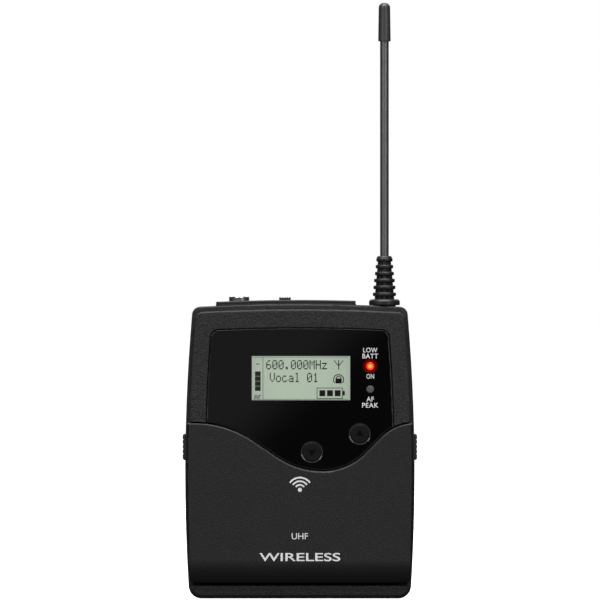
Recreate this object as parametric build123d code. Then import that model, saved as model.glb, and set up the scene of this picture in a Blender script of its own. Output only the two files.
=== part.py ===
"""Wireless bodypack transmitter, in millimetres.

+Z points up along the antenna, the front (display) faces -Y, and +X is to the right seen from the front.
The origin is the middle of the underside: centred on the width over the two catches and on the depth
from the front face to the back of the belt clip.
"""

import math
import os

from build123d import *

# Overall sizes
FRONT_Y = -12.0  # face of the front frame and of the battery door
PARTING_Y = -6.0  # where the front frame and the door meet the rear housing
BACK_Y = 7.0  # back wall of the rear housing
CLIP_BACK_Y = 12.0  # outermost point of the belt clip
AXIS_Y = -2.0  # jack, mute switch and antenna all stand on this line
CATCH_REACH = 32.1  # half the width over the two catches

# Body outline, seen from the front: bowed sides, a gently arched top and a flat underside
BELLY_HALF = 31.5  # half width at the widest height
BELLY_Z = 34.0
SIDE_RADIUS = 510.0
TOP_RADIUS = 520.0
TOP_APEX = 80.75
TOP_CORNER = 2.3
BOTTOM_CORNER = 3.6

# Shells
WALL = 1.6
FRAME_INSET = 0.95  # the front frame stands this far inside the rear housing's outline
DOOR_INSET = 0.45
FRAME_TOP = TOP_APEX - 1.5
FRAME_WALL = 1.5
PLATE_BACK = -10.55  # back of the frame's front plate, front of its inner plate
INNER_BACK = -9.6  # back of the frame's inner plate
EDGE = 0.5  # edge rounding of the outer shells

# Wavy seam between the frame and the door: corners of the polyline and their radii
SEAM_CREST = 48.4
SEAM_VALLEY = 35.15
SEAM_CORNERS = ((-20.1, SEAM_CREST), (-0.5, SEAM_VALLEY), (12.9, SEAM_VALLEY), (26.15, SEAM_CREST))
SEAM_RADII = [30.0, 21.6, 16.2, 13.0]
SEAM_GAP = 0.4

# Display panel
PANEL_INSET = 5.77
PANEL_TOP = 74.1
PANEL_CORNER = 2.2
PANEL_FACE = -11.85
PANEL_BACK = -10.65
PANEL_GAP = 0.32
LEDGE = 1.3  # how far the frame's inner plate reaches under the panel's edge
WINDOW_X = 0.3
WINDOW_WIDTH = 26.8
WINDOW_Z = (54.5, 66.45)
LED_X = 19.25
LED_Z = {"power": 63.7, "peak": 57.4}
LED_RADIUS = {"power": 1.1, "peak": 1.05}

# Main board
BOARD_Y = (-7.2, -6.2)
BOARD_HALF = 23.6
BOARD_Z = (35.6, 77.2)
BOARD_SCREWS = ((-22.2, 75.2), (22.2, 75.2), (-21.5, 36.8), (21.5, 37.5))
HOUSING_SCREWS = ((-26.0, 73.0), (26.0, 73.0), (-26.3, 56.5), (26.3, 56.5))

# Buttons
BUTTONS = {"up": (16.4, 45.2), "down": (3.3, 40.25)}
CAP_RADIUS = 2.6
DISH_RADIUS = 3.05
DISH_DEPTH = 0.45
INNER_BUTTONS = {"power": (-17.4, 40.0), "set": (-10.0, 38.2)}
INNER_CAP_RADIUS = 2.4
SWITCH_TOP = -8.7  # tip of a tact switch's plunger

# Top of the housing
PLATE_X = (-23.1, 15.4)
PLATE_APEX = 81.88
PLATE_Y = (-5.4, 3.4)
LIP = 0.5  # the top plate's lip stands above a fine groove
JACK_X = -16.7
JACK_TOP = 82.8
JACK_BORE = 1.8
THREAD_BORE = 2.3
BUSH_RADIUS = 2.775
KNOB_X = -4.1
KNOB_WIDTH = 3.2
KNOB_TOP = 82.6
KNOB_TRAVEL = 2.0

# Antenna
ANTENNA_X = 23.25
ANTENNA_TIP = 163.6
ROD_RADIUS = 1.19
CAP_LENGTH = 10.6
NECK_RADIUS = 3.1  # threaded base, where it comes out of the housing
BOOT_RADIUS = 4.25
BOOT_BASE = (80.4, 82.1)
BOOT_TOP = 94.0
CORE_RADII = (2.86, 1.76)  # at the foot and at the top
RING_RADII = (3.2, 3.03, 2.85, 2.62, 2.42, 2.25)
FIRST_RING = 83.42
RING_PITCH = 1.9
RING_HEIGHT = 1.05
SLOT = (0.4, 1.1)  # the bend slots lie between these distances on both sides of each rib

# Batteries: two AA cells lying across the body
CELL_RADIUS = 7.25
CELL_LENGTH = 50.5
CELL_Y = -2.6
LOWER_CELL_Z = 12.0
UPPER_CELL_Z = 26.6
CONTACT_X = 26.4  # inner face of the contact plates
TRAY_HALF = 27.9

# Door hinge: the door's barrel turns on a pin held in the housing's ears, above a sill
ROLL_RADIUS = 8.0  # the door's face rolls back towards the sill on this radius
ROLL_CENTRE = (-4.0, 10.5)  # y and z
BARREL_RADIUS = 1.2
HINGE_LEAN = 42.0  # angle from the vertical of the barrel's place on the roll
PIN_RADIUS = 0.5
BARREL_HALF = 26.6
EAR_X = (26.9, 28.6)
EAR_RADIUS = 0.85
EAR_BACK = -4.6
SILL_FRONT = -8.8
SILL_TOP = 3.6
SILL_ROUND = 1.3
SKIN = 1.2

# Catches at the door's sides
CATCH_Z = (38.0, 45.2)
CATCH_Y = (-10.6, -7.0)
CATCH_SPRING = (-8.9, 41.6)  # y and z of its axis
CATCH_RIDGES = 4

# Belt clip
WIRE_RADIUS = 0.9
CLIP_PIVOT = (4.4, 46.0)  # y and z of the two wire ends in the housing's sides
CLIP_RECESS_Y = 2.4

# Charging contacts in the sides and the blank label on the back
CHARGE_Z = 20.0
CHARGE_RADIUS = 1.6
LABEL_HALF = 17.0
LABEL_Z = (52.0, 72.0)
LABEL_DEPTH = 0.15

HINGE_Y = ROLL_CENTRE[0] - (ROLL_RADIUS - BARREL_RADIUS) * math.sin(math.radians(HINGE_LEAN))
HINGE_Z = ROLL_CENTRE[1] - (ROLL_RADIUS - BARREL_RADIUS) * math.cos(math.radians(HINGE_LEAN))


# Building blocks


def block(x, y, z):
    """A box between two values along each axis."""
    size = [high - low for low, high in (x, y, z)]
    centre = [(high + low) / 2 for low, high in (x, y, z)]
    return Pos(*centre) * Box(*size)


def slab(sketch, front, back):
    """A front-view sketch made solid between two depths."""
    plane = Plane(origin=(0, back, 0), x_dir=(1, 0, 0), z_dir=(0, -1, 0))
    return extrude(plane * sketch, back - front)


def rod(start, direction, radius, length):
    """A cylinder from a point along a direction."""
    align = (Align.CENTER, Align.CENTER, Align.MIN)
    return Plane(origin=start, z_dir=direction) * Cylinder(radius, length, align=align)


def post(place, radius, front, back):
    """A cylinder along Y at a front-view place."""
    return rod((place[0], front, place[1]), (0, 1, 0), radius, back - front)


def spindle(points, x, y):
    """A turned piece about a vertical axis, from its (radius, height) outline."""
    profile = make_face(Polyline(*[(r, 0, z) for r, z in points], close=True))
    return Pos(x, y, 0) * revolve(profile, Axis.Z)


def coil(start, direction, radius, wire, turns, pitch):
    """A short coil spring: turns of wire a pitch apart, tied by a strip along one side."""
    first = Vector(start) + Vector(direction) * wire
    spring = rod(first + Vector(0, 0, radius), direction, wire * 0.8, (turns - 1) * pitch)
    for i in range(turns):
        place = Plane(origin=first + Vector(direction) * (i * pitch), z_dir=direction)
        spring += place * Torus(radius, wire)
    return spring


# Outlines in the front view


def half_width(z, inset):
    """Half the body's width at a height."""
    bow = SIDE_RADIUS - math.sqrt(SIDE_RADIUS**2 - (z - BELLY_Z) ** 2)
    return BELLY_HALF - inset - bow


def outline(inset=0.0, apex=TOP_APEX, floor=0.0, top_corner=TOP_CORNER, bottom_corner=BOTTOM_CORNER):
    """The body's outline, moved inwards at the sides, with its own top, floor and corner radii."""
    corner_z = apex - BELLY_HALF**2 / (2 * TOP_RADIUS)
    x = half_width(corner_z, inset)
    corner_z = apex - x**2 / (2 * TOP_RADIUS)
    foot = half_width(floor, inset)
    middle_z = (floor + corner_z) / 2
    middle = half_width(middle_z, inset)
    right = ThreePointArc((foot, floor), (middle, middle_z), (x, corner_z))
    top = ThreePointArc((x, corner_z), (0, apex), (-x, corner_z))
    left = ThreePointArc((-x, corner_z), (-middle, middle_z), (-foot, floor))
    face = make_face([right, top, left, Line((-foot, floor), (foot, floor))])
    corners = face.vertices().sort_by(Axis.Y)
    face = fillet(corners[-2:], top_corner)
    return fillet(face.vertices().sort_by(Axis.Y)[:2], bottom_corner)


def below_seam(shift=0.0):
    """Everything below the wavy seam, grown or shrunk by a shift."""
    reach, depth = 60.0, -20.0
    wave = FilletPolyline((-reach, SEAM_CREST), *SEAM_CORNERS, (reach, SEAM_CREST), radius=SEAM_RADII)
    rest = Polyline((reach, SEAM_CREST), (reach, depth), (-reach, depth), (-reach, SEAM_CREST))
    face = make_face([*wave.edges(), *rest.edges()])
    return offset(face, shift) if shift else face


def panel_outline(inset=0.0):
    """The display panel: the body's outline moved inwards, cut off by the wavy seam."""
    sides = outline(
        PANEL_INSET + inset,
        PANEL_TOP - inset,
        floor=20.0,
        top_corner=max(PANEL_CORNER - inset, 0.6),
        bottom_corner=1.0,
    )
    return sides - below_seam(SEAM_GAP / 2 + inset)


# Outer shells


def hinge_rod(radius, low, high):
    """A cylinder about the door hinge's axis."""
    return rod((low, HINGE_Y, HINGE_Z), (1, 0, 0), radius, high - low)


def make_rear_housing():
    """The deep rear shell, with hinge ears, screw posts, clip pads and the openings in its top."""
    shell = slab(outline(), PARTING_Y, BACK_Y)
    shell = fillet(shell.faces().sort_by(Axis.Y)[-1].edges(), 1.8)
    shell = fillet(shell.faces().sort_by(Axis.Y)[0].edges(), EDGE)
    inner = outline(WALL, TOP_APEX - WALL, WALL, TOP_CORNER, BOTTOM_CORNER - WALL)
    shell -= slab(inner, PARTING_Y - 1, BACK_Y - WALL + 0.1)
    sill = slab(outline() & Pos(0, SILL_TOP - 10) * Rectangle(80, 20), SILL_FRONT, PARTING_Y + EDGE)
    sill = fillet(sill.faces().sort_by(Axis.Y)[0].edges().sort_by(Axis.Z)[-1], EDGE)
    shell += fillet(sill.faces().sort_by(Axis.Y)[0].edges().sort_by(Axis.Z)[:-1], SILL_ROUND)
    for side in (-1, 1):
        low, high = sorted((side * EAR_X[0], side * EAR_X[1]))
        ear = hinge_rod(EAR_RADIUS, low, high)
        ear += block((low, high), (HINGE_Y, EAR_BACK), (HINGE_Z - 0.5, HINGE_Z + 0.8))
        ear += block((low, high), (PARTING_Y - 0.2, EAR_BACK), (0.8, HINGE_Z + 0.8))
        shell += ear
        pad = block((26.6, 30.0), (CLIP_RECESS_Y - 1.4, BACK_Y - 1.0), (38.4, 52.2))
        pad &= slab(outline(0.6), PARTING_Y, BACK_Y - 0.6)
        shell += pad if side > 0 else mirror(pad, Plane.YZ)
    shell -= hinge_rod(PIN_RADIUS, -EAR_X[1] + 0.4, EAR_X[1] - 0.4)
    for place in HOUSING_SCREWS:
        shell += post(place, 2.2, PARTING_Y, BACK_Y - 1)
        shell -= post(place, 1.95, BACK_Y - 1.8, BACK_Y + 1)
        shell -= post(place, 1.1, PARTING_Y - 1, BACK_Y)
    shell -= clip_recesses()
    # openings in the top and sides
    shell -= block((PLATE_X[0] - 0.1, PLATE_X[1] + 0.1), (PLATE_Y[0] - 0.1, PLATE_Y[1] + 0.1), (75, 90))
    shell -= rod((ANTENNA_X, AXIS_Y, 75), (0, 0, 1), NECK_RADIUS + 0.05, 10)
    for side in (-1, 1):
        shell -= rod((side * 28.0, 0, CHARGE_Z), (side, 0, 0), CHARGE_RADIUS + 0.05, 6)
    shell -= block((-LABEL_HALF, LABEL_HALF), (BACK_Y - LABEL_DEPTH, BACK_Y + 1), LABEL_Z)
    return shell


def clip_recesses():
    """The pockets in the housing's sides that hide the clip's ends, with the two blind pivot holes."""
    pivot_y, pivot_z = CLIP_PIVOT
    pocket = block((28.7, 40), (CLIP_RECESS_Y, BACK_Y + 1), (pivot_z - 5.6, pivot_z + 3.4))
    pocket = fillet(pocket.edges().filter_by(Axis.X).group_by(Axis.Y)[0], 1.5)
    hole = rod((27.2, pivot_y, pivot_z), (1, 0, 0), WIRE_RADIUS + 0.05, 4)
    one = pocket + hole
    return one + mirror(one, Plane.YZ)


def make_front_frame():
    """The upper front cover: face, side walls, posts and an inner plate that runs on under the door."""
    above = outline(FRAME_INSET, FRAME_TOP) - below_seam(SEAM_GAP / 2)
    face = slab(above, FRONT_Y, PARTING_Y)
    front_edges = face.faces().sort_by(Axis.Y)[0].outer_wire().edges()
    outer_edges = front_edges.filter_by(lambda e: e.center().Z > SEAM_CREST + 1)
    face = fillet(outer_edges, EDGE)
    face -= slab(outline(FRAME_INSET + FRAME_WALL, FRAME_TOP - FRAME_WALL), PLATE_BACK, PARTING_Y + 1)
    face -= slab(panel_outline(-PANEL_GAP), FRONT_Y - 1, PLATE_BACK)
    # inner plate: a ledge round the panel, and the deck under the door's wave
    reach = FRAME_WALL - 0.2
    inner = outline(FRAME_INSET + reach, FRAME_TOP - reach, floor=34.4, bottom_corner=1.0)
    narrow = inner & Pos(0, 44) * Rectangle(46.4, 40)
    wide = inner & Pos(0, 70) * Rectangle(70, 42)
    inner = (narrow + wide) - panel_outline(LEDGE)
    frame = face + slab(inner, PLATE_BACK, INNER_BACK)
    for place in BOARD_SCREWS:
        frame += post(place, 1.4, INNER_BACK - 0.2, BOARD_Y[0])
        frame -= post(place, 0.7, INNER_BACK, BOARD_Y[0])
    for place in HOUSING_SCREWS:
        frame += post(place, 2.0, INNER_BACK - 0.2, PARTING_Y)
        frame -= post(place, 0.95, INNER_BACK, PARTING_Y)
    for place in INNER_BUTTONS.values():
        frame -= post(place, INNER_CAP_RADIUS + 0.12, PLATE_BACK - 1, INNER_BACK + 1)
    return frame


def make_battery_door():
    """The flip-down door: a skin that rolls back above the sill, side walls, hinge barrel and guides."""
    shape = outline(DOOR_INSET, floor=0.4) & below_seam(-SEAM_GAP / 2)
    outer = slab(shape, FRONT_Y, PARTING_Y - 0.2) & roll(ROLL_RADIUS)
    hidden = outline(DOOR_INSET + SKIN, floor=1.6, bottom_corner=2.8)
    cavity = slab(hidden, FRONT_Y, PARTING_Y + 1) & roll(ROLL_RADIUS - SKIN)
    front_edges = outer.faces().sort_by(Axis.Y)[0].edges()
    door = fillet(front_edges.filter_by(lambda e: e.center().Z > 12), EDGE) - cavity
    door += hinge_rod(BARREL_RADIUS, -BARREL_HALF, BARREL_HALF)
    door -= hinge_rod(PIN_RADIUS + 0.05, -BARREL_HALF - 4, BARREL_HALF + 4)
    # behind the hinge the door keeps clear of the housing and the lower cell while it turns
    door -= block((-40, 40), (HINGE_Y + BARREL_RADIUS, PARTING_Y + 1), (0, HINGE_Z + 0.1))
    for side in (-1, 1):
        low, high = sorted((side * (EAR_X[0] - 0.2), side * (EAR_X[1] + 0.2)))
        door -= hinge_rod(EAR_RADIUS + 0.1, low, high)
        door -= block((low, high), (HINGE_Y - 0.6, PARTING_Y + 3), (0, HINGE_Z + 1.2))
        guide = block((24.4, 29.2), (FRONT_Y + SKIN - 0.2, CATCH_Y[1] - 0.2), (38.7, 44.5))
        guide -= block((25.0, 31.0), (CATCH_Y[0] + 0.5, CATCH_Y[1] + 1), (39.3, 43.9))
        door += guide if side > 0 else mirror(guide, Plane.YZ)
        y, z = [(low - 0.1, high + 0.1) for low, high in (CATCH_Y, CATCH_Z)]
        window = block((28.3, 34), y, z)
        door -= window if side > 0 else mirror(window, Plane.YZ)
    return door


def roll(radius):
    """The space behind and above the door's rolled lower edge, as a solid across the width."""
    y, z = ROLL_CENTRE
    lean = math.radians(HINGE_LEAN)
    arc = ThreePointArc(
        (0, y - radius, z),
        (0, y - radius * math.cos(math.radians(25)), z - radius * math.sin(math.radians(25))),
        (0, y - radius * math.sin(lean), z - radius * math.cos(lean)),
    )
    tail = arc @ 1
    sides = Polyline(tail, (0, 3, tail.Z), (0, 3, 60), (0, y - radius, 60), (0, y - radius, z))
    profile = make_face([arc, *sides.edges()])
    return extrude(profile, 40, dir=(1, 0, 0), both=True)


def make_catch():
    """The right-hand catch: a pad at the body's side and a tongue with a blind hole for its spring."""
    pad = block((29.3, CATCH_REACH), CATCH_Y, CATCH_Z)
    pad = fillet(pad.edges().filter_by(Axis.Y).group_by(Axis.X)[-1], 0.6)
    pad = fillet(pad.faces().sort_by(Axis.X)[-1].edges().filter_by(Axis.Z), 0.35)
    for i in range(CATCH_RIDGES):
        z = CATCH_Z[0] + 1.55 + i * 1.3
        pad -= block((CATCH_REACH - 0.18, 33), (-12, -5), (z, z + 0.3))
    tongue = block((26.0, 29.4), (CATCH_Y[0] + 0.6, CATCH_Y[1] - 0.3), (39.4, 43.8))
    nose = block((27.6, 29.2), (CATCH_Y[1] - 0.4, CATCH_Y[1] + 0.5), (40.2, 43.0))
    catch = pad + tongue + nose
    return catch - rod((25, *CATCH_SPRING), (1, 0, 0), 1.1, 3.4)


def make_catch_spring():
    """The right-hand catch's spring, from the guide's end wall to the bottom of the catch's hole."""
    return coil((25.0, *CATCH_SPRING), (1, 0, 0), 0.75, 0.16, 6, 0.6)


# Display and board


def make_display_panel():
    """Glossy panel with the display window, lamp holes and a dished hole for each button."""
    panel = slab(panel_outline(), PANEL_FACE, PANEL_BACK)
    panel = fillet(panel.faces().sort_by(Axis.Y)[0].edges(), 0.3)
    panel -= block(window_x(0.05), (-13, -9), (WINDOW_Z[0] - 0.05, WINDOW_Z[1] + 0.05))
    for name in LED_Z:
        panel -= post((LED_X, LED_Z[name]), LED_RADIUS[name] + 0.05, -13, -9)
    ball = (DISH_RADIUS**2 + DISH_DEPTH**2) / (2 * DISH_DEPTH)
    for x, z in BUTTONS.values():
        panel -= Pos(x, PANEL_FACE - ball + DISH_DEPTH, z) * Sphere(ball)
        panel -= post((x, z), CAP_RADIUS + 0.12, -13, -9)
    return panel


def window_x(margin):
    """The display window's left and right edges, moved outwards by a margin."""
    return (WINDOW_X - WINDOW_WIDTH / 2 - margin, WINDOW_X + WINDOW_WIDTH / 2 + margin)


def make_panel_adhesive():
    """The tape frame that holds the panel on the frame's ledge."""
    tape = panel_outline(0.2) - panel_outline(LEDGE - 0.2)
    return slab(tape, PANEL_BACK, PLATE_BACK)


def make_lcd_window():
    return block(window_x(0.0), (PANEL_FACE + 0.02, PANEL_BACK), WINDOW_Z)


def make_lcd_glass():
    return block((WINDOW_X - 15.5, WINDOW_X + 15.5), (-10.55, -8.85), (51.5, 69.0))


def make_lcd_frame():
    """Moulded holder of the display glass and its light guide."""
    holder = block((WINDOW_X - 16.6, WINDOW_X + 16.6), (-10.4, BOARD_Y[0]), (50.4, 70.2))
    holder -= block((WINDOW_X - 15.5, WINDOW_X + 15.5), (-11, -8.8), (51.5, 69.0))
    return holder - block((WINDOW_X - 14.5, WINDOW_X + 14.5), (-9, -7.5), (52.5, 68.0))


def make_light_guide():
    return block((WINDOW_X - 14.4, WINDOW_X + 14.4), (-8.8, -7.5), (52.6, 67.9))


def make_lcd_ribbon():
    """Flexible connector from the glass's lower edge to the board."""
    return block((-8, 8.6), (-8.9, BOARD_Y[0]), (50.0, 50.3))


def make_led_lens(name):
    """A light pipe from the board to the panel's face, with a domed end."""
    lens = post((LED_X, LED_Z[name]), LED_RADIUS[name], -11.95, -8.2)
    return fillet(lens.edges().sort_by(Axis.Y)[0], 0.3)


def make_led_chips():
    """The two indicator lamps and the infrared diode on the board."""
    chips = [block((18.2, 20.3), (-9.0, BOARD_Y[0]), (70.0, 71.6))]
    for z in LED_Z.values():
        chips.append(block((LED_X - 0.8, LED_X + 0.8), (-8.1, BOARD_Y[0]), (z - 0.5, z + 0.5)))
    return Compound(chips)


def make_main_board():
    """The circuit board, screwed to the front frame's posts."""
    board = block((-BOARD_HALF, BOARD_HALF), BOARD_Y, BOARD_Z)
    board = fillet(board.edges().filter_by(Axis.Y), 1.0)
    for place in BOARD_SCREWS:
        board -= post(place, 0.85, -9, -5)
    return board


def make_board_screws():
    return Compound([
        post(place, 0.7, INNER_BACK + 0.4, BOARD_Y[1]) + post(place, 1.35, BOARD_Y[1], BOARD_Y[1] + 0.8)
        for place in BOARD_SCREWS
    ])


def make_rf_shield():
    """Pressed can over the radio circuits on the back of the board."""
    can = block((-3.0, 19.0), (BOARD_Y[1], -3.2), (38.0, 58.0))
    can = fillet(can.edges().filter_by(Axis.Y), 1.0)
    return can - block((-2.7, 18.7), (BOARD_Y[1] - 1, -3.5), (38.3, 57.7))


def make_board_chips():
    """Processor, converter and oscillator on the back of the board."""
    return Compound([
        block((-18, -8), (BOARD_Y[1], -5.2), (44, 54)),
        block((-19, -13), (BOARD_Y[1], -5.0), (58, 62.5)),
        block((5, 9), (BOARD_Y[1], -4.6), (63, 69)),
    ])


def make_tact_switches():
    """The four small switches behind the buttons."""
    switches = []
    for place in (*BUTTONS.values(), *INNER_BUTTONS.values()):
        x, z = place
        body = block((x - 1.8, x + 1.8), (-8.3, BOARD_Y[0]), (z - 1.8, z + 1.8))
        switches.append(body + post(place, 0.85, SWITCH_TOP, -8.2))
    return Compound(switches)


# Buttons and the mute switch


def make_button(name):
    """A round cap with an engraved arrowhead, a collar behind the panel and a stem."""
    place = BUTTONS[name]
    cap = post(place, CAP_RADIUS, PANEL_FACE + 0.03, INNER_BACK - 0.2)
    cap = fillet(cap.edges().sort_by(Axis.Y)[0], 0.25)
    cap += post(place, CAP_RADIUS + 0.45, PANEL_BACK + 0.2, INNER_BACK - 0.2)
    cap += post(place, 1.0, INNER_BACK - 0.3, SWITCH_TOP - 0.45)
    turn = 90 if name == "up" else -90
    arrow = Pos(*place) * Rot(0, 0, turn) * RegularPolygon(1.2, 3)
    return cap - slab(arrow, -13, PANEL_FACE + 0.13)


def make_inner_button(name):
    """A round key, sunk a little in the deck under the door."""
    place = INNER_BUTTONS[name]
    key = post(place, INNER_CAP_RADIUS, PLATE_BACK + 0.5, INNER_BACK + 0.1)
    key = fillet(key.edges().sort_by(Axis.Y)[0], 0.2)
    key += post(place, INNER_CAP_RADIUS + 0.4, INNER_BACK + 0.1, SWITCH_TOP - 0.45)
    return key


def arched_block(apex, inset):
    """The top plate's block below an arched top, moved inwards at its four sides."""
    left, right = PLATE_X[0] + inset, PLATE_X[1] - inset
    rise = [(x, apex - x**2 / (2 * TOP_RADIUS)) for x in (right, 0.0, left)]
    curve = ThreePointArc(*rise)
    side = Polyline(rise[2], (left, 78.0), (right, 78.0), rise[0])
    block_face = make_face([curve, *side.edges()])
    arched = slab(block_face, PLATE_Y[0] + inset, PLATE_Y[1] - inset)
    return fillet(arched.edges().filter_by(Axis.Z), 1.4)


def make_top_plate():
    """The raised plate on top that holds the jack's bush and the mute slider's slot."""
    plate = arched_block(PLATE_APEX, 0.0)
    plate = fillet(plate.faces().sort_by(Axis.Z)[-1].edges(), 0.35)
    groove = arched_block(PLATE_APEX - LIP, 0.0) - arched_block(PLATE_APEX - LIP - 0.18, 0.0)
    plate -= groove - arched_block(PLATE_APEX, 0.2)
    plate -= rod((JACK_X, AXIS_Y, 70), (0, 0, 1), BUSH_RADIUS + 0.02, 20)
    slot = block(
        (KNOB_X - KNOB_WIDTH / 2 - 0.2, KNOB_X + KNOB_WIDTH / 2 + KNOB_TRAVEL + 0.2),
        (AXIS_Y - 2.2, AXIS_Y + 2.2),
        (70, 90),
    )
    return plate - slot


def make_mute_knob():
    """Serrated slider with a stem down into its switch."""
    half = KNOB_WIDTH / 2
    knob = block((KNOB_X - half, KNOB_X + half), (AXIS_Y - 2.0, AXIS_Y + 2.0), (78.2, KNOB_TOP))
    groove_pitch = KNOB_WIDTH / 5
    for i in range(1, 5):
        x = KNOB_X - half + i * groove_pitch
        groove = Pos(x, AXIS_Y, KNOB_TOP) * Rot(0, 45, 0) * Box(0.3, 6, 0.3)
        knob -= groove
    return knob + block((KNOB_X - 0.6, KNOB_X + 0.6), (AXIS_Y - 0.6, AXIS_Y + 0.6), (76.2, 78.4))


def make_mute_switch():
    """Slide switch body below the top plate, with the slot that its slider runs in."""
    body = block((-8.6, 2.4), (-5.0, 1.0), (72.4, 77.6))
    return body - block((KNOB_X - 0.9, KNOB_X + 0.9 + KNOB_TRAVEL), (AXIS_Y - 0.8, AXIS_Y + 0.8), (76.0, 79))


def make_audio_jack():
    """Socket body with the 3.5 mm plug's bore."""
    body = block((JACK_X - 4.0, JACK_X + 4.0), (BOARD_Y[1] + 0.25, 2.0), (64.0, 77.9))
    body = fillet(body.edges().filter_by(Axis.Z), 0.6)
    return body - rod((JACK_X, AXIS_Y, 65.4), (0, 0, 1), JACK_BORE, 20)


def make_jack_bush():
    """Metal bush round the socket's mouth, with the bore of its locking thread."""
    bush = rod((JACK_X, AXIS_Y, 77.9), (0, 0, 1), BUSH_RADIUS, JACK_TOP - 77.9)
    bush = fillet(bush.edges().sort_by(Axis.Z)[-1], 0.3)
    return bush - rod((JACK_X, AXIS_Y, 70), (0, 0, 1), THREAD_BORE, 20)


def make_jack_contacts():
    """Solder tags of the socket on the board side."""
    x = (JACK_X - 4.5, JACK_X - 4.0)
    y = (BOARD_Y[1], BOARD_Y[1] + 1.6)
    return Compound([block(x, y, (z, z + 1.4)) for z in (65.5, 68.5, 71.5)])


# Antenna


def make_antenna_ferrule():
    """Threaded metal base that carries the antenna through the housing's top."""
    thread, foot, shoulder, top = 2.2, 75.7, 79.3, BOOT_BASE[0]
    points = [(0, foot), (thread, foot), (thread, shoulder)]
    points += [(NECK_RADIUS, shoulder), (NECK_RADIUS, top), (0, top)]
    return spindle(points, ANTENNA_X, AXIS_Y)


def make_antenna_nut():
    """Hexagon nut under the housing's top wall."""
    nut = extrude(Pos(ANTENNA_X, AXIS_Y, 76.3) * RegularPolygon(3.3, 6), 1.8)
    return nut - rod((ANTENNA_X, AXIS_Y, 70), (0, 0, 1), 2.2, 20)


def make_antenna_contact():
    """Spring strip from the ferrule to the board."""
    strip = block((21.9, 23.5), (BOARD_Y[1], -3.4), (73.0, 73.3))
    return strip + block((21.9, 23.5), (-3.9, -3.4), (73.0, 75.7))


def make_antenna_boot():
    """Ribbed rubber bend relief: round base, tapered core, rings that get smaller upwards and bend slots."""
    axis = Pos(ANTENNA_X, AXIS_Y, 0)
    low, high = BOOT_BASE
    base = rod((ANTENNA_X, AXIS_Y, low), (0, 0, 1), BOOT_RADIUS, high - low)
    base = fillet(base.edges().filter_by(GeomType.CIRCLE).sort_by(Axis.Z)[-1], 0.85)
    base = fillet(base.edges().filter_by(GeomType.CIRCLE).sort_by(Axis.Z)[0], 0.3)
    foot_radius, top_radius = CORE_RADII
    tip_foot = BOOT_TOP - 1
    points = [(0, low), (foot_radius, low), (top_radius, tip_foot), (0, tip_foot)]
    core = spindle(points, ANTENNA_X, AXIS_Y)
    slot = block(SLOT, (-5, -ROD_RADIUS - 0.15), (high, BOOT_TOP))
    for turn in range(0, 360, 90):
        core -= axis * Rot(0, 0, turn) * (slot + mirror(slot, Plane.YZ))
    boot = base + core
    for i, radius in enumerate(RING_RADII):
        z = FIRST_RING + i * RING_PITCH - RING_HEIGHT / 2
        ring = rod((ANTENNA_X, AXIS_Y, z), (0, 0, 1), radius, RING_HEIGHT)
        boot += fillet(ring.edges().filter_by(GeomType.CIRCLE), 0.35)
    tip = rod((ANTENNA_X, AXIS_Y, tip_foot), (0, 0, 1), 2.1, 1)
    boot += fillet(tip.edges().filter_by(GeomType.CIRCLE).sort_by(Axis.Z)[-1], 0.6)
    return boot - rod((ANTENNA_X, AXIS_Y, high), (0, 0, 1), ROD_RADIUS, 30)


def make_antenna_rod():
    return rod((ANTENNA_X, AXIS_Y, BOOT_BASE[1]), (0, 0, 1), ROD_RADIUS, ANTENNA_TIP - 4 - BOOT_BASE[1])


def make_antenna_cap():
    """Moulded end cap that tapers slightly towards its domed tip."""
    foot = ANTENNA_TIP - CAP_LENGTH
    points = [(0, foot), (1.72, foot), (1.56, ANTENNA_TIP), (0, ANTENNA_TIP)]
    cap = spindle(points, ANTENNA_X, AXIS_Y)
    cap = fillet(cap.edges().sort_by(Axis.Z)[-1], 1.35)
    cap = fillet(cap.edges().filter_by(GeomType.CIRCLE).sort_by(Axis.Z)[0], 0.12)
    return cap - rod((ANTENNA_X, AXIS_Y, 100), (0, 0, 1), ROD_RADIUS, ANTENNA_TIP - 104)


# Battery bay


def make_battery_tray():
    """Liner of the battery bay: back, end walls, roof, floor and cradle ribs."""
    outer = block((-TRAY_HALF, TRAY_HALF), (-9.2, 5.4), (3.6, 35.0))
    tray = outer - block((-TRAY_HALF + 1, TRAY_HALF - 1), (-12, 4.75), (4.5, 34.0))
    tray -= block((-40, 40), (-12, EAR_BACK + 0.2), (0, 8.3))
    for x in (-14, 0, 14):
        tray += block((x - 0.6, x + 0.6), (0.6, 4.8), (4.4, 34.1))
    for z in (LOWER_CELL_Z, UPPER_CELL_Z):
        tray -= rod((-24.5, CELL_Y, z), (1, 0, 0), CELL_RADIUS + 0.1, 49)
    return tray


def make_battery(z, side):
    """An AA cell with its positive cap towards one side."""
    nub = side * (CONTACT_X - 0.05)
    can_length = CELL_LENGTH - 1.2
    cell = rod((nub - side * 1.2, CELL_Y, z), (-side, 0, 0), CELL_RADIUS, can_length)
    cell = fillet(cell.edges().filter_by(GeomType.CIRCLE), 0.5)
    return cell + rod((nub, CELL_Y, z), (-side, 0, 0), 2.75, 2.0)


def make_battery_plates():
    """Flat contacts at the positive ends."""
    places = ((1, UPPER_CELL_Z), (-1, LOWER_CELL_Z))
    return Compound([
        block(sorted((s * CONTACT_X, s * (CONTACT_X + 0.45))), (-7.5, 2.3), (z - 5, z + 5)) for s, z in places
    ])


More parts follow.
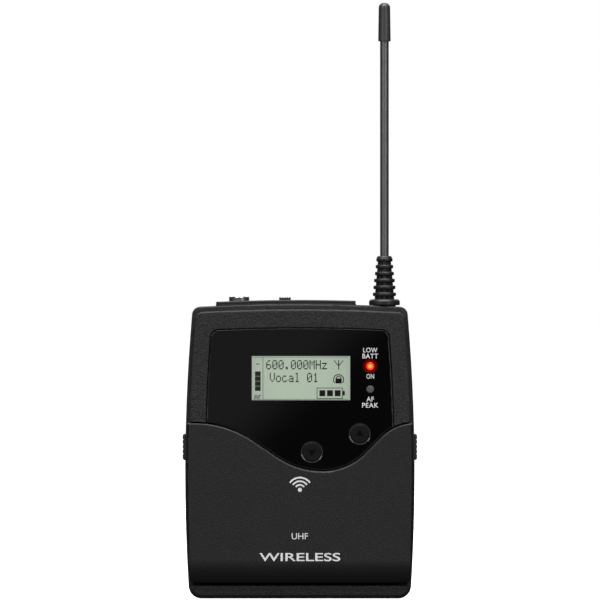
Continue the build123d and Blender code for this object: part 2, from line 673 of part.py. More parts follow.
def make_battery_springs():
    """Coil contacts at the negative ends, each on its base plate."""
    springs = []
    for side, z in ((-1, UPPER_CELL_Z), (1, LOWER_CELL_Z)):
        face = side * (CONTACT_X + 0.15)
        plate = block(sorted((face, face + side * 0.3)), (-7.5, 2.3), (z - 5, z + 5))
        for turn in range(3):
            ring = Torus(3.6 - turn * 0.7, 0.3)
            x = face - side * (0.2 + turn * 0.55)
            plate += Plane(origin=(x, CELL_Y, z), z_dir=(1, 0, 0)) * ring
        low = min(face, face - side * 1.6)
        plate += block((low, low + 1.6), (CELL_Y - 3.6, CELL_Y - 1.9), (z - 0.3, z + 0.3))
        springs.append(plate)
    return Compound(springs)


# Small fittings


def make_hinge_pin():
    return hinge_rod(PIN_RADIUS, -EAR_X[1] + 0.4, EAR_X[1] - 0.4)


def make_belt_clip():
    """One length of spring wire: both ends in the housing's sides, a loop down the back and a lifted tip."""
    pivot_y, pivot_z = CLIP_PIVOT
    back = CLIP_BACK_Y - WIRE_RADIUS
    half = [
        (27.4, pivot_y, pivot_z),
        (29.95, pivot_y, pivot_z),
        (29.75, back - 1.4, pivot_z - 0.6),
        (25.0, back, pivot_z - 9.0),
        (12.5, back, 24.0),
        (11.0, back - 0.5, 7.5),
    ]
    points = [*half, *[(-x, y, z) for x, y, z in reversed(half)]]
    bends = [1.5, 2.0, 5.0, 14.0, 4.5]
    path = FilletPolyline(*points, radius=[*bends, *reversed(bends)])
    start = Plane(origin=points[0], z_dir=(1, 0, 0))
    return sweep(start * Circle(WIRE_RADIUS), path=path)


def make_charge_contact():
    """The right-hand charging contact, flush with the housing's side."""
    pad = rod((29.2, 0, CHARGE_Z), (1, 0, 0), CHARGE_RADIUS, half_width(CHARGE_Z, 0) - 29.15)
    return fillet(pad.edges().sort_by(Axis.X)[-1], 0.2)


def make_housing_screws():
    """Cross-head screws from the back into the front frame's posts."""
    screws = []
    for x, z in HOUSING_SCREWS:
        screw = post((x, z), 1.85, BACK_Y - 1.8, BACK_Y - 0.6)
        screw += post((x, z), 0.95, INNER_BACK + 1.5, BACK_Y - 1.7)
        for width, height in ((2.2, 0.45), (0.45, 2.2)):
            screw -= Pos(x, BACK_Y - 0.6, z) * Box(width, 1.2, height)
        screws.append(screw)
    return Compound(screws)


def make_rating_label():
    """Blank label in its shallow pocket on the back."""
    label = block((-LABEL_HALF + 0.2, LABEL_HALF - 0.2), (BACK_Y - LABEL_DEPTH, BACK_Y - 0.03), (52.2, 71.8))
    return fillet(label.edges().filter_by(Axis.Y), 1.0)


def all_parts():
    """Every sub-part by name."""
    catch = make_catch()
    catch_spring = make_catch_spring()
    charge_contact = make_charge_contact()
    parts = {
        "rear_housing": make_rear_housing(),
        "front_frame": make_front_frame(),
        "battery_door": make_battery_door(),
        "display_panel": make_display_panel(),
        "panel_adhesive": make_panel_adhesive(),
        "lcd_window": make_lcd_window(),
        "lcd_glass": make_lcd_glass(),
        "lcd_frame": make_lcd_frame(),
        "light_guide": make_light_guide(),
        "lcd_ribbon": make_lcd_ribbon(),
        "led_chips": make_led_chips(),
        "main_board": make_main_board(),
        "board_screws": make_board_screws(),
        "rf_shield": make_rf_shield(),
        "board_chips": make_board_chips(),
        "tact_switches": make_tact_switches(),
        "top_plate": make_top_plate(),
        "mute_knob": make_mute_knob(),
        "mute_switch": make_mute_switch(),
        "audio_jack": make_audio_jack(),
        "jack_bush": make_jack_bush(),
        "jack_contacts": make_jack_contacts(),
        "antenna_ferrule": make_antenna_ferrule(),
        "antenna_nut": make_antenna_nut(),
        "antenna_contact": make_antenna_contact(),
        "antenna_boot": make_antenna_boot(),
        "antenna_rod": make_antenna_rod(),
        "antenna_cap": make_antenna_cap(),
        "battery_tray": make_battery_tray(),
        "battery_upper": make_battery(UPPER_CELL_Z, 1),
        "battery_lower": make_battery(LOWER_CELL_Z, -1),
        "battery_plates": make_battery_plates(),
        "battery_springs": make_battery_springs(),
        "hinge_pin": make_hinge_pin(),
        "belt_clip": make_belt_clip(),
        "housing_screws": make_housing_screws(),
        "rating_label": make_rating_label(),
        "catch_right": catch,
        "catch_left": mirror(catch, Plane.YZ),
        "catch_spring_right": catch_spring,
        "catch_spring_left": mirror(catch_spring, Plane.YZ),
        "charge_contact_right": charge_contact,
        "charge_contact_left": mirror(charge_contact, Plane.YZ),
    }
    for name in LED_Z:
        parts["led_lens_" + name] = make_led_lens(name)
    for name in BUTTONS:
        parts["button_" + name] = make_button(name)
    for name in INNER_BUTTONS:
        parts["button_" + name] = make_inner_button(name)
    return parts


os.makedirs("parts", exist_ok=True)
for part_name, shape in all_parts().items():
    export_step(shape, f"parts/{part_name}.step")
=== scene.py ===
"""Looks of the wireless bodypack transmitter: materials, printed marks, display, camera and studio."""

import math

import bmesh
import bpy
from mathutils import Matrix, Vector


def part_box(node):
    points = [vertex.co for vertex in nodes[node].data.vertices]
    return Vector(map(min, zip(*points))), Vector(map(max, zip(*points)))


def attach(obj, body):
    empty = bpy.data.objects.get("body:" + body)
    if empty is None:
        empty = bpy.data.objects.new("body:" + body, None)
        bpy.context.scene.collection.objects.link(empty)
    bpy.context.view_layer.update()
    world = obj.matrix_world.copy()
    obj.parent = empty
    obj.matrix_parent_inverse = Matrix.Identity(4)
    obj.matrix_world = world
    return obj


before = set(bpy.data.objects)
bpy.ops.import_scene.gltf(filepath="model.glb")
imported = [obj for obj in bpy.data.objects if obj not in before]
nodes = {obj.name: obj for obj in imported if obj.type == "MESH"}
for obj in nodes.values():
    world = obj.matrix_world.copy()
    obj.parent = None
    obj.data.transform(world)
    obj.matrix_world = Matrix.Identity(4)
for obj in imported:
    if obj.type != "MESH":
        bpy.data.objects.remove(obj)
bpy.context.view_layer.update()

MM = 0.001
WHITE = (1.0, 1.0, 1.0, 1.0)
FRONT_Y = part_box("battery_door")[0].y
PANEL_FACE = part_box("display_panel")[0].y
PRINT = 0.02 * MM  # how far lettering and arrows stand proud
TILE_DEPTH = 0.012 * MM  # how far tiles and arcs stand proud
CELL_HALF = 26.4 * MM  # half the length over a battery cell's caps
EYE_HEIGHT = 81.85 * MM
CAMERA_X = 0.03 * MM
CAMERA_GAP = 2.0  # from the camera to the door's face, in metres
PICTURE_WIDTH = 164.2 * MM  # what the square picture spans at the door's face
CARD_GAP = 0.5  # from the panel's face to the reflected card, in metres
FLOOR_DROP = 0.2 * MM  # the floor lies just under the object


# Materials


def grey(value):
    return (value, value, value, 1.0)


def new_material(name, color, roughness, **sockets):
    """A Principled material. Returns it with its node tree and shader."""
    made = bpy.data.materials.new(name)
    made.use_nodes = True
    tree = made.node_tree
    shader = tree.nodes["Principled BSDF"]
    shader.inputs["Base Color"].default_value = color
    shader.inputs["Roughness"].default_value = roughness
    for socket, value in sockets.items():
        shader.inputs[socket.replace("_", " ")].default_value = value
    return made, tree, shader


def noise(tree, scale, detail=4.0, roughness=0.55, stretch=(1, 1, 1)):
    """Noise in the object's own coordinates, with scale in features per metre."""
    place = tree.nodes.new("ShaderNodeTexCoord")
    mapping = tree.nodes.new("ShaderNodeMapping")
    mapping.inputs["Scale"].default_value = stretch
    texture = tree.nodes.new("ShaderNodeTexNoise")
    texture.inputs["Scale"].default_value = scale
    texture.inputs["Detail"].default_value = detail
    texture.inputs["Roughness"].default_value = roughness
    tree.links.new(place.outputs["Object"], mapping.inputs["Vector"])
    tree.links.new(mapping.outputs["Vector"], texture.inputs["Vector"])
    return texture.outputs["Fac"]


def spread(tree, value, low, high):
    """Maps a 0..1 value to a range."""
    ramp = tree.nodes.new("ShaderNodeMapRange")
    ramp.inputs["From Min"].default_value = 0.3
    ramp.inputs["From Max"].default_value = 0.7
    ramp.inputs["To Min"].default_value = low
    ramp.inputs["To Max"].default_value = high
    tree.links.new(value, ramp.inputs["Value"])
    return ramp.outputs["Result"]


def add_bump(tree, shader, height, distance, below=None):
    """Bumps a height onto the shader's normal; below is another bump's output."""
    bump = tree.nodes.new("ShaderNodeBump")
    bump.inputs["Distance"].default_value = distance
    tree.links.new(height, bump.inputs["Height"])
    if below is not None:
        tree.links.new(below, bump.inputs["Normal"])
    tree.links.new(bump.outputs["Normal"], shader.inputs["Normal"])
    return bump.outputs["Normal"]


def tint(tree, shader, fac, dark, light, low=0.3, high=0.7):
    """Base colour that runs between two colours with a value."""
    ramp = tree.nodes.new("ShaderNodeValToRGB")
    ramp.color_ramp.elements[0].position = low
    ramp.color_ramp.elements[0].color = dark
    ramp.color_ramp.elements[1].position = high
    ramp.color_ramp.elements[1].color = light
    tree.links.new(fac, ramp.inputs["Fac"])
    tree.links.new(ramp.outputs["Color"], shader.inputs["Base Color"])


def grained_paint():
    """Coarse grained matt black paint of the metal housing."""
    made, tree, shader = new_material("grained_paint", grey(0.02), 0.5)
    coarse = noise(tree, 2300, detail=3.0, roughness=0.65)
    fine = noise(tree, 5200, detail=2.0)
    tint(tree, shader, coarse, grey(0.005), grey(0.021), low=0.38, high=0.62)
    tree.links.new(spread(tree, fine, 0.42, 0.6), shader.inputs["Roughness"])
    first = add_bump(tree, shader, coarse, 0.22 * MM)
    add_bump(tree, shader, fine, 0.015 * MM, below=first)
    return made


def fine_plastic(name, color=0.0165, roughness=0.5, **sockets):
    """Finely etched matt black moulding."""
    made, tree, shader = new_material(name, grey(color), roughness, **sockets)
    fine = noise(tree, 2600, detail=4.0, roughness=0.6)
    broad = noise(tree, 160, detail=2.0)
    tint(tree, shader, broad, grey(color * 0.93), grey(color * 1.07))
    tree.links.new(spread(tree, fine, roughness - 0.06, roughness + 0.07), shader.inputs["Roughness"])
    add_bump(tree, shader, fine, 0.07 * MM)
    return made


def radial(tree, centre, near, far, high, low=0.0):
    """A value that falls from high to low between two distances from a place on the front."""
    place = tree.nodes.new("ShaderNodeTexCoord")
    flat = tree.nodes.new("ShaderNodeVectorMath")
    flat.operation = "MULTIPLY"
    flat.inputs[1].default_value = (1, 0, 1)
    reach = tree.nodes.new("ShaderNodeVectorMath")
    reach.operation = "DISTANCE"
    reach.inputs[1].default_value = (centre[0], 0, centre[1])
    fall = tree.nodes.new("ShaderNodeMapRange")
    fall.interpolation_type = "SMOOTHSTEP"
    fall.inputs["From Min"].default_value = near
    fall.inputs["From Max"].default_value = far
    fall.inputs["To Min"].default_value = high
    fall.inputs["To Max"].default_value = low
    tree.links.new(place.outputs["Object"], flat.inputs[0])
    tree.links.new(flat.outputs["Vector"], reach.inputs[0])
    tree.links.new(reach.outputs["Value"], fall.inputs["Value"])
    return fall.outputs["Result"]


def front_centre(name):
    """A node's middle in the front view."""
    low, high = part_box(name)
    return ((low.x + high.x) / 2, (low.z + high.z) / 2)


def depth_behind(tree, start, end):
    """A value that rises from 0 to 1 between two places along y."""
    place = tree.nodes.new("ShaderNodeTexCoord")
    split = tree.nodes.new("ShaderNodeSeparateXYZ")
    rise = tree.nodes.new("ShaderNodeMapRange")
    rise.inputs["From Min"].default_value = start
    rise.inputs["From Max"].default_value = end
    tree.links.new(place.outputs["Object"], split.inputs["Vector"])
    tree.links.new(split.outputs["Y"], rise.inputs["Value"])
    return rise.outputs["Result"]


def gloss_panel():
    """Polished black acrylic with a painted pale highlight round its cut rim; the red lamp's light bleeds in
    round its hole as a painted red glow.
    """
    red = (1.0, 0.01, 0.005, 1)
    made, tree, shader = new_material("gloss_panel", grey(0.0012), 0.04, Emission_Color=red)
    # painted highlight: the panel's cut rim, just behind its face, gets a pale base colour
    painted_edge_highlight = depth_behind(tree, PANEL_FACE + 0.02 * MM, PANEL_FACE + 0.08 * MM)
    tint(tree, shader, painted_edge_highlight, grey(0.0012), grey(0.07), low=0.0, high=1.0)
    smear = noise(tree, 90, detail=3.0)
    tree.links.new(spread(tree, smear, 0.03, 0.06), shader.inputs["Roughness"])
    # painted red glow: the panel emits red light that fades with distance from the lit lamp's hole
    glow = radial(tree, front_centre("led_lens_power"), 1.0 * MM, 2.3 * MM, high=0.18)
    tree.links.new(glow, shader.inputs["Emission Strength"])
    return made


def clear_window():
    """Thin clear window: see-through with a faint reflection."""
    made = bpy.data.materials.new("clear_window")
    made.use_nodes = True
    tree = made.node_tree
    tree.nodes.clear()
    out = tree.nodes.new("ShaderNodeOutputMaterial")
    mix = tree.nodes.new("ShaderNodeMixShader")
    clear = tree.nodes.new("ShaderNodeBsdfTransparent")
    gloss = tree.nodes.new("ShaderNodeBsdfGlossy")
    gloss.inputs["Roughness"].default_value = 0.03
    weight = tree.nodes.new("ShaderNodeFresnel")
    weight.inputs["IOR"].default_value = 1.45
    tree.links.new(weight.outputs["Fac"], mix.inputs["Fac"])
    tree.links.new(clear.outputs["BSDF"], mix.inputs[1])
    tree.links.new(gloss.outputs["BSDF"], mix.inputs[2])
    tree.links.new(mix.outputs["Shader"], out.inputs["Surface"])
    return made


def lcd_face():
    """Backlit display face, slightly brighter in the middle."""
    pale_green = (0.16, 0.19, 0.15, 1)
    backlight = (0.84, 1.0, 0.80, 1)
    made, tree, shader = new_material("lcd_face", pale_green, 0.4, Emission_Color=backlight)
    grain = noise(tree, 900, detail=2.0)
    tint(tree, shader, grain, (0.155, 0.185, 0.148, 1), (0.17, 0.20, 0.16, 1))
    glow = radial(tree, front_centre("lcd_window"), 6 * MM, 15 * MM, high=0.46, low=0.41)
    tree.links.new(glow, shader.inputs["Emission Strength"])
    return made


def plain(name, color, roughness, metallic=0.0, grain_scale=3000, grain_depth=0.004, **sockets):
    """A material with a fine surface grain and slight unevenness of colour and gloss."""
    made, tree, shader = new_material(name, color, roughness, Metallic=metallic, **sockets)
    grain = noise(tree, grain_scale, detail=3.0)
    broad = noise(tree, grain_scale / 12, detail=2.0)
    dark = tuple(c * 0.9 for c in color[:3]) + (1.0,)
    light = tuple(min(c * 1.1, 1.0) for c in color[:3]) + (1.0,)
    tint(tree, shader, broad, dark, light)
    rough = spread(tree, grain, roughness * 0.85, min(roughness * 1.15, 1.0))
    tree.links.new(rough, shader.inputs["Roughness"])
    add_bump(tree, shader, grain, grain_depth * MM)
    return made


def brushed(name, color, roughness, stretch):
    """Metal with fine brush lines along one axis."""
    made, tree, shader = new_material(name, color, roughness, Metallic=1.0)
    lines = noise(tree, 2600, detail=4.0, stretch=stretch)
    tree.links.new(spread(tree, lines, roughness * 0.75, roughness * 1.3), shader.inputs["Roughness"])
    add_bump(tree, shader, lines, 0.003 * MM)
    return made


def lit_lens(node):
    """Domed lens of the lit lamp: yellow in the middle, deep red at its rim."""
    made, tree, shader = new_material("lamp_red", (0.5, 0.01, 0.005, 1), 0.15, Emission_Strength=1.0)
    ramp = tree.nodes.new("ShaderNodeValToRGB")
    ramp.color_ramp.elements[0].color = (0.9, 0.008, 0.003, 1)
    ramp.color_ramp.elements[1].color = (1.5, 0.62, 0.12, 1)
    middle = ramp.color_ramp.elements.new(0.45)
    middle.color = (1.3, 0.14, 0.02, 1)
    tree.links.new(radial(tree, front_centre(node), 0.15 * MM, 1.05 * MM, 1.0), ramp.inputs["Fac"])
    tree.links.new(ramp.outputs["Color"], shader.inputs["Emission Color"])
    return made


def cell_sleeve():
    """Printed sleeve of a battery cell: dark, with a light band near each end and bare metal caps."""
    made, tree, shader = new_material("cell_sleeve", grey(0.05), 0.3)
    place = tree.nodes.new("ShaderNodeTexCoord")
    split = tree.nodes.new("ShaderNodeSeparateXYZ")
    along = tree.nodes.new("ShaderNodeMapRange")
    along.inputs["From Min"].default_value = -CELL_HALF
    along.inputs["From Max"].default_value = CELL_HALF
    ramp = tree.nodes.new("ShaderNodeValToRGB")
    ramp.color_ramp.interpolation = "CONSTANT"
    cap = grey(0.55)
    sleeve = (0.012, 0.03, 0.05, 1)
    band = (0.55, 0.56, 0.58, 1)
    colors = (cap, sleeve, band, sleeve, band, sleeve, cap)
    stops = tuple(zip((0.0, 0.03, 0.2, 0.24, 0.76, 0.8, 0.97), colors))
    for position, color in stops[2:]:
        ramp.color_ramp.elements.new(position).color = color
    for element, (position, color) in zip(ramp.color_ramp.elements, stops):
        element.position = position
        element.color = color
    grain = noise(tree, 2500, detail=2.0)
    tree.links.new(place.outputs["Object"], split.inputs["Vector"])
    tree.links.new(split.outputs["X"], along.inputs["Value"])
    tree.links.new(along.outputs["Result"], ramp.inputs["Fac"])
    tree.links.new(ramp.outputs["Color"], shader.inputs["Base Color"])
    tree.links.new(spread(tree, grain, 0.24, 0.38), shader.inputs["Roughness"])
    return made


def dress(names, made):
    """Puts a material on CAD nodes."""
    for name in names:
        for slot in nodes[name].material_slots:
            slot.link = "OBJECT"
            slot.material = made


def dress_all():
    """Gives every CAD node its material."""
    dress(["rear_housing", "front_frame"], grained_paint())
    dress(["battery_door"], fine_plastic("door_plastic", 0.0115))
    dress(["top_plate", "mute_knob", "catch_left", "catch_right"], fine_plastic("trim_plastic", 0.02))
    key_plastic = fine_plastic("key_plastic", 0.004, 0.4, Specular_IOR_Level=0.3)
    dress(["button_up", "button_down", "button_power", "button_set"], key_plastic)
    dress(["display_panel"], gloss_panel())
    dress(["lcd_window"], clear_window())
    dress(["lcd_glass"], lcd_face())
    inner = fine_plastic("inner_plastic", 0.014, 0.6)
    dress(["lcd_frame", "battery_tray", "mute_switch", "audio_jack", "tact_switches", "board_chips"], inner)
    dress(["panel_adhesive"], plain("foam_tape", grey(0.006), 0.9))
    dress(["light_guide"], plain("milky_guide", grey(0.75), 0.3))
    dress(["lcd_ribbon"], plain("amber_film", (0.30, 0.12, 0.02, 1), 0.3))
    dress(["main_board"], plain("solder_mask", (0.01, 0.09, 0.035, 1), 0.35))
    dress(["led_lens_power"], lit_lens("led_lens_power"))
    dress(["led_lens_peak"], plain("lamp_grey", grey(0.13), 0.2))
    dress(["led_chips"], plain("lamp_chip", (0.7, 0.65, 0.5, 1), 0.3))
    steel = brushed("nickel_steel", grey(0.55), 0.3, (1, 1, 8))
    dress(["board_screws", "hinge_pin", "rf_shield", "battery_springs", "battery_plates"], steel)
    dress(["antenna_nut", "antenna_contact", "jack_contacts"], steel)
    dress(["catch_spring_left", "catch_spring_right"], steel)
    dress(["belt_clip", "housing_screws", "antenna_ferrule"], plain("black_steel", grey(0.012), 0.28))
    dress(["jack_bush"], brushed("polished_bush", grey(0.62), 0.14, (1, 1, 6)))
    boot_rubber = plain("boot_rubber", grey(0.012), 0.42, grain_depth=0.01, Specular_IOR_Level=0.65)
    dress(["antenna_boot"], boot_rubber)
    cap_rubber = plain("cap_rubber", grey(0.035), 0.42, grain_depth=0.02, Specular_IOR_Level=0.9)
    dress(["antenna_cap"], cap_rubber)
    dress(["antenna_rod"], plain("rod_sleeve", grey(0.24), 0.42, metallic=1.0, grain_depth=0.006))
    dress(["battery_upper", "battery_lower"], cell_sleeve())
    gold = brushed("gold_plate", (0.85, 0.62, 0.25, 1), 0.25, (1, 1, 1))
    dress(["charge_contact_left", "charge_contact_right"], gold)
    dress(["rating_label"], plain("blank_label", grey(0.03), 0.45))


# Printed marks


def finish_mesh(name, mesh, made, body, y):
    """Makes an object of a mesh drawn in the front view and lets it ride on a body."""
    piece = bpy.data.objects.new(name, mesh)
    bpy.context.scene.collection.objects.link(piece)
    piece.location = (0, y, 0)
    mesh.materials.append(made)
    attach(piece, body)


def tile_mesh(name, tiles):
    """A mesh of flat raised tiles, each (x0, z0, x1, z1) in millimetres in the front view."""
    build = bmesh.new()
    for x0, z0, x1, z1 in tiles:
        box = bmesh.ops.create_cube(build, size=1.0)
        for v in box["verts"]:
            v.co.x = (x0 if v.co.x < 0 else x1) * MM
            v.co.z = (z0 if v.co.z < 0 else z1) * MM
            v.co.y = -TILE_DEPTH if v.co.y < 0 else 0.0
    mesh = bpy.data.meshes.new(name)
    build.to_mesh(mesh)
    build.free()
    return mesh


def lettering(name, text, centre, height, made, body, y, width=None, weight=0.03, spacing=1.0):
    """Printed capital letters of a given height in millimetres, centred on an (x, z) place, as a mesh."""
    curve = bpy.data.curves.new(name + "_curve", "FONT")
    curve.body = text
    curve.align_x = "CENTER"
    curve.align_y = "CENTER"
    curve.size = 1.0
    curve.space_character = spacing
    curve.offset = weight
    curve.extrude = 0.01
    curve.resolution_u = 6
    writer = bpy.data.objects.new(name + "_writer", curve)
    bpy.context.scene.collection.objects.link(writer)
    bpy.context.view_layer.update()
    mesh = bpy.data.meshes.new_from_object(writer.evaluated_get(bpy.context.evaluated_depsgraph_get()))
    bpy.data.objects.remove(writer)
    xs = [v.co.x for v in mesh.vertices]
    ys = [v.co.y for v in mesh.vertices]
    tall = height * MM / (max(ys) - min(ys))
    wide = width * MM / (max(xs) - min(xs)) if width else tall
    middle = Vector(((max(xs) + min(xs)) / 2, (max(ys) + min(ys)) / 2))
    for v in mesh.vertices:
        x, z, lift = (v.co.x - middle.x) * wide, (v.co.y - middle.y) * tall, v.co.z
        v.co = (centre[0] * MM + x, -PRINT * (1 + lift / 0.01) / 2, centre[1] * MM + z)
    mesh.materials.clear()
    mesh.name = name
    finish_mesh(name, mesh, made, body, y)


def ring_mesh(name, arcs):
    """Flat raised arcs, each (centre x, centre z, inner radius, outer radius, from degrees, to degrees)."""
    segments = 28
    build = bmesh.new()
    for cx, cz, inner, outer, start, stop in arcs:
        rows = []
        for i in range(segments + 1):
            a = math.radians(start + (stop - start) * i / segments)
            row = []
            for radius, y in ((inner, 0), (outer, 0), (outer, -TILE_DEPTH), (inner, -TILE_DEPTH)):
                x = (cx + radius * math.cos(a)) * MM
                z = (cz + radius * math.sin(a)) * MM
                row.append(build.verts.new((x, y, z)))
            rows.append(row)
        for one, two in zip(rows, rows[1:]):
            for k in range(4):
                build.faces.new((one[k], one[(k + 1) % 4], two[(k + 1) % 4], two[k]))
        if abs(stop - start) < 360:
            build.faces.new(rows[0])
            build.faces.new(rows[-1][::-1])
    bmesh.ops.remove_doubles(build, verts=build.verts, dist=1e-8)
    bmesh.ops.recalc_face_normals(build, faces=build.faces)
    mesh = bpy.data.meshes.new(name)
    build.to_mesh(mesh)
    build.free()
    return mesh


def print_marks():
    """White marks on the door and the panel, printed in an ink that also gives off a faint painted glow."""
    # painted glow: the white ink emits a faint white light of its own
    ink_with_painted_glow = plain("white_ink_painted_glow", grey(0.7), 0.5, Emission_Color=WHITE, Emission_Strength=0.2)
    wave_z = 29.9
    waves = [(0.0, wave_z, radius - 0.22, radius + 0.22, 35, 145) for radius in (1.35, 2.35, 3.35)]
    finish_mesh("wave_mark", ring_mesh("wave_mark", waves), ink_with_painted_glow, "door", FRONT_Y)
    wave_dot = [(0.0, wave_z, 0.0, 0.55, 0, 360)]
    finish_mesh("wave_mark_dot", ring_mesh("wave_mark_dot", wave_dot), ink_with_painted_glow, "door", FRONT_Y)
    lettering("band_mark", "UHF", (0.0, 17.2), 1.7, ink_with_painted_glow, "door", FRONT_Y, weight=0.0)
    lettering("word_mark", "WIRELESS", (0.0, 11.5), 2.25, ink_with_painted_glow, "door", FRONT_Y, width=22.1, weight=0.01)
    panel_x = 19.25
    for name, text, z, width in (
        ("label_low", "LOW", 68.15, 3.9),
        ("label_batt", "BATT", 66.5, 4.27),
        ("label_on", "ON", 60.95, 2.1),
        ("label_af", "AF", 54.75, 2.0),
        ("label_peak", "PEAK", 53.05, 4.45),
    ):
        lettering(name, text, (panel_x, z), 1.3, ink_with_painted_glow, "housing", PANEL_FACE, width, weight=0.01, spacing=1.1)


def arrow_marks():
    """Near-black, dull triangles set into the engraved arrowheads of the up and down keys: painted shade of
    the engravings.
    """
    # painted shade: a near-black, barely shiny fill that stands for the shade inside each engraving
    dark = plain("arrow_painted_shade", grey(0.0008), 0.7, Specular_IOR_Level=0.1)
    for name, body, turn in (("button_up", "up_key", 1), ("button_down", "down_key", -1)):
        x, z = front_centre(name)
        base = z - 0.5 * turn * MM
        corners = [(x - 0.95 * MM, base), (x + 0.95 * MM, base), (x, z + 1.1 * turn * MM)]
        build = bmesh.new()
        front = [build.verts.new((cx, -PRINT, cz)) for cx, cz in corners]
        back = [build.verts.new((cx, 0, cz)) for cx, cz in corners]
        build.faces.new(front)
        build.faces.new(back)
        for i in range(3):
            build.faces.new((front[i], front[(i + 1) % 3], back[(i + 1) % 3], back[i]))
        bmesh.ops.recalc_face_normals(build, faces=build.faces)
        mesh = bpy.data.meshes.new(name + "_arrow")
        build.to_mesh(mesh)
        build.free()
        finish_mesh(name + "_arrow", mesh, dark, body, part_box(name)[0].y + 0.09 * MM)


# Display content

GLYPHS = {
    "0": ("01110", "10001", "10011", "10101", "11001", "10001", "01110"),
    "1": ("00100", "01100", "00100", "00100", "00100", "00100", "01110"),
    "6": ("00110", "01000", "10000", "11110", "10001", "10001", "01110"),
    ".": ("00000", "00000", "00000", "00000", "00000", "01100", "01100"),
    "M": ("10001", "11011", "10101", "10101", "10001", "10001", "10001"),
    "H": ("10001", "10001", "10001", "11111", "10001", "10001", "10001"),
    "z": ("00000", "00000", "11111", "00010", "00100", "01000", "11111"),
    "V": ("10001", "10001", "10001", "10001", "10001", "01010", "00100"),
    "o": ("00000", "00000", "01110", "10001", "10001", "10001", "01110"),
    "c": ("00000", "00000", "01110", "10000", "10000", "10001", "01110"),
    "a": ("00000", "00000", "01110", "00001", "01111", "10001", "01111"),
    "l": ("01100", "00100", "00100", "00100", "00100", "00100", "01110"),
    " ": ("00000",) * 7,
}
DOT = (0.283, 0.365)  # width and height of a display dot, in millimetres
DOT_FILL = 0.96
LETTER_PITCH = 6  # in dots


def dots(rows, left, top, dot=DOT):
    """Tiles for the set dots of a small picture whose upper left corner is given."""
    tiles = []
    for j, row in enumerate(rows):
        for i, mark in enumerate(row):
            if mark == "1":
                x, z = left + i * dot[0], top - (j + 1) * dot[1]
                tiles.append((x, z, x + dot[0] * DOT_FILL, z + dot[1] * DOT_FILL))
    return tiles


def dot_text(words, left, top):
    """Tiles for a line of letters."""
    tiles = []
    for k, letter in enumerate(words):
        tiles += dots(GLYPHS[letter], left + k * LETTER_PITCH * DOT[0], top)
    return tiles


def display_content():
    """Frequency, name, level bar and symbols on the display, placed in millimetres in the front view."""
    dark = plain("display_dots", (0.005, 0.006, 0.005, 1), 0.5)
    pale = plain("display_pale_dots", (0.06, 0.07, 0.055, 1), 0.5)
    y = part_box("lcd_glass")[0].y
    antenna = ("100010001", "010010010", "001010100", "000111000", "000010000", "000010000", "000010000")
    level = [(-12.3, z, -10.75, z + 1.28) for z in (56.95, 58.3, 59.65, 61.0)]
    cells = [(5.35 + k * 2.1, 55.5, 6.95 + k * 2.1, 57.15) for k in range(3)]
    case = [(4.6, 54.8, 11.75, 54.98), (4.6, 57.65, 11.75, 57.83)]
    case += [(4.6, 54.8, 4.78, 57.83), (11.57, 54.8, 11.75, 57.83)]
    tip = [(11.75, 55.7, 12.3, 56.95)]
    tiles = dot_text("600.000MHz", -9.25, 65.4) + dot_text("Vocal 01", -8.25, 61.9)
    tiles += dots(antenna, 9.35, 65.35) + [(-12.0, 64.2, -11.1, 64.45)] + level + cells + case + tip
    finish_mesh("display_dots", tile_mesh("display_dots", tiles), dark, "housing", y)
    small = (0.22, 0.26)
    af_rows = ("01100111", "10010100", "11110110", "10010100", "10010100")
    faint = dots(af_rows, -12.45, 55.9, small) + [(-10.18, 54.6, -10.05, 66.2), (-12.8, 66.15, 13.2, 66.25)]
    faint += [(-12.8, 54.6, 13.2, 54.7)]
    finish_mesh("display_pale_dots", tile_mesh("display_pale_dots", faint), pale, "housing", y)
    shackle = [(10.6, 60.35, 0.5, 0.75, 0, 180), (10.6, 60.05, 1.25, 1.5, -40, 220)]
    finish_mesh("display_lock_ring", ring_mesh("display_lock_ring", shackle), dark, "housing", y)
    body = [(9.75, 59.0, 11.45, 60.35)]
    finish_mesh("display_lock_body", tile_mesh("display_lock_body", body), dark, "housing", y)


# Camera and studio


def make_camera():
    """A long lens straight in front of the object."""
    data = bpy.data.cameras.new("camera")
    data.sensor_width = 36.0
    data.lens = data.sensor_width * CAMERA_GAP / PICTURE_WIDTH
    data.clip_end = 50.0
    camera = bpy.data.objects.new("camera", data)
    bpy.context.scene.collection.objects.link(camera)
    camera.location = (CAMERA_X, FRONT_Y - CAMERA_GAP, EYE_HEIGHT)
    camera.rotation_euler = (math.radians(90), 0, 0)
    bpy.context.scene.camera = camera


def area_light(name, place, aim, size, radiance):
    """A rectangular soft light of a given radiance."""
    data = bpy.data.lights.new(name, "AREA")
    data.shape = "RECTANGLE"
    data.size, data.size_y = size
    data.energy = radiance * math.pi * size[0] * size[1]
    light = bpy.data.objects.new(name, data)
    bpy.context.scene.collection.objects.link(light)
    light.location = place
    light.rotation_euler = (Vector(place) - Vector(aim)).to_track_quat("Z", "Y").to_euler()
    light.visible_camera = False


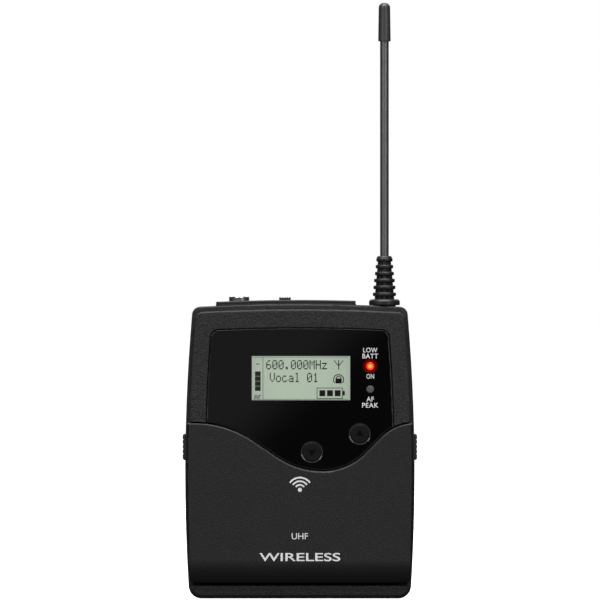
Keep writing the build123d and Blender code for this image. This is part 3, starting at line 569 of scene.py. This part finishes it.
def make_world():
    """White seen directly; for the object a dim room, darker behind."""
    world = bpy.data.worlds.new("studio")
    bpy.context.scene.world = world
    world.use_nodes = True
    tree = world.node_tree
    tree.nodes.clear()
    out = tree.nodes.new("ShaderNodeOutputWorld")
    seen = tree.nodes.new("ShaderNodeBackground")
    seen.inputs["Color"].default_value = WHITE
    lit = tree.nodes.new("ShaderNodeBackground")
    place = tree.nodes.new("ShaderNodeTexCoord")
    split = tree.nodes.new("ShaderNodeSeparateXYZ")
    tree.links.new(place.outputs["Generated"], split.inputs["Vector"])
    ramp = tree.nodes.new("ShaderNodeMapRange")
    ramp.inputs["From Min"].default_value = -1.0
    ramp.inputs["From Max"].default_value = 0.3
    ramp.inputs["To Min"].default_value = 0.14
    ramp.inputs["To Max"].default_value = 0.03
    tree.links.new(split.outputs["Y"], ramp.inputs["Value"])
    tree.links.new(ramp.outputs["Result"], lit.inputs["Color"])
    ray = tree.nodes.new("ShaderNodeLightPath")
    mix = tree.nodes.new("ShaderNodeMixShader")
    tree.links.new(ray.outputs["Is Camera Ray"], mix.inputs["Fac"])
    tree.links.new(lit.outputs["Background"], mix.inputs[1])
    tree.links.new(seen.outputs["Background"], mix.inputs[2])
    tree.links.new(mix.outputs["Shader"], out.inputs["Surface"])


def make_floor():
    """Pale floor under the object; the object's own surfaces don't see it."""
    bpy.ops.mesh.primitive_plane_add(size=40.0, location=(0, 0, -FLOOR_DROP))
    floor = bpy.context.object
    floor.name = "studio_floor"
    paper = new_material("studio_floor", grey(0.8), 0.9, Emission_Color=WHITE, Emission_Strength=1.05)[0]
    floor.data.materials.append(paper)
    floor.visible_diffuse = False
    floor.visible_glossy = False


def make_reflected_card():
    """A card in front of the panel, seen only in reflections: pale at its upper left, then fading."""
    grow = 1 + CARD_GAP / CAMERA_GAP
    low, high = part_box("display_panel")
    middle = (low + high) / 2
    bpy.ops.mesh.primitive_plane_add(size=1.0)
    card = bpy.context.object
    card.name = "reflected_card"
    card.scale = ((high.x - low.x) * grow * 1.15, (high.z - low.z) * grow * 1.15, 1)
    card.rotation_euler = (math.radians(-90), 0, 0)
    card.location = (middle.x * grow, PANEL_FACE - CARD_GAP, EYE_HEIGHT + (middle.z - EYE_HEIGHT) * grow)
    made = bpy.data.materials.new("reflected_card")
    made.use_nodes = True
    tree = made.node_tree
    tree.nodes.clear()
    out = tree.nodes.new("ShaderNodeOutputMaterial")
    glow = tree.nodes.new("ShaderNodeEmission")
    place = tree.nodes.new("ShaderNodeNewGeometry")
    slant = tree.nodes.new("ShaderNodeVectorMath")
    slant.operation = "DOT_PRODUCT"
    slant.inputs[1].default_value = (1, 0, -1)
    ramp = tree.nodes.new("ShaderNodeMapRange")
    ramp.interpolation_type = "SMOOTHSTEP"
    ramp.inputs["From Min"].default_value = -0.0665
    ramp.inputs["From Max"].default_value = -0.0385
    ramp.inputs["To Min"].default_value = 0.24
    ramp.inputs["To Max"].default_value = 0.035
    tree.links.new(place.outputs["Position"], slant.inputs[0])
    tree.links.new(slant.outputs["Value"], ramp.inputs["Value"])
    tree.links.new(ramp.outputs["Result"], glow.inputs["Strength"])
    tree.links.new(glow.outputs["Emission"], out.inputs["Surface"])
    card.data.materials.append(made)
    card.visible_camera = False
    card.visible_shadow = False
    card.visible_diffuse = False


def make_studio():
    """Two soft lights beside the camera, one above and one behind, in a dim room."""
    make_world()
    make_floor()
    make_reflected_card()
    aim = (0, 0, 0.06)
    area_light("key_left", (-0.85, -1.2, 0.75), aim, (0.7, 0.9), 2.6)
    area_light("key_right", (0.85, -1.2, 0.6), aim, (0.7, 0.9), 2.25)
    area_light("top", (0, -0.35, 1.3), aim, (1.2, 0.6), 10.5)
    area_light("rim", (0, 1.1, 0.8), aim, (1.4, 0.7), 2.2)
    view = bpy.context.scene.view_settings
    view.view_transform = "Standard"
    view.look = "None"


dress_all()
print_marks()
arrow_marks()
display_content()
make_camera()
make_studio()
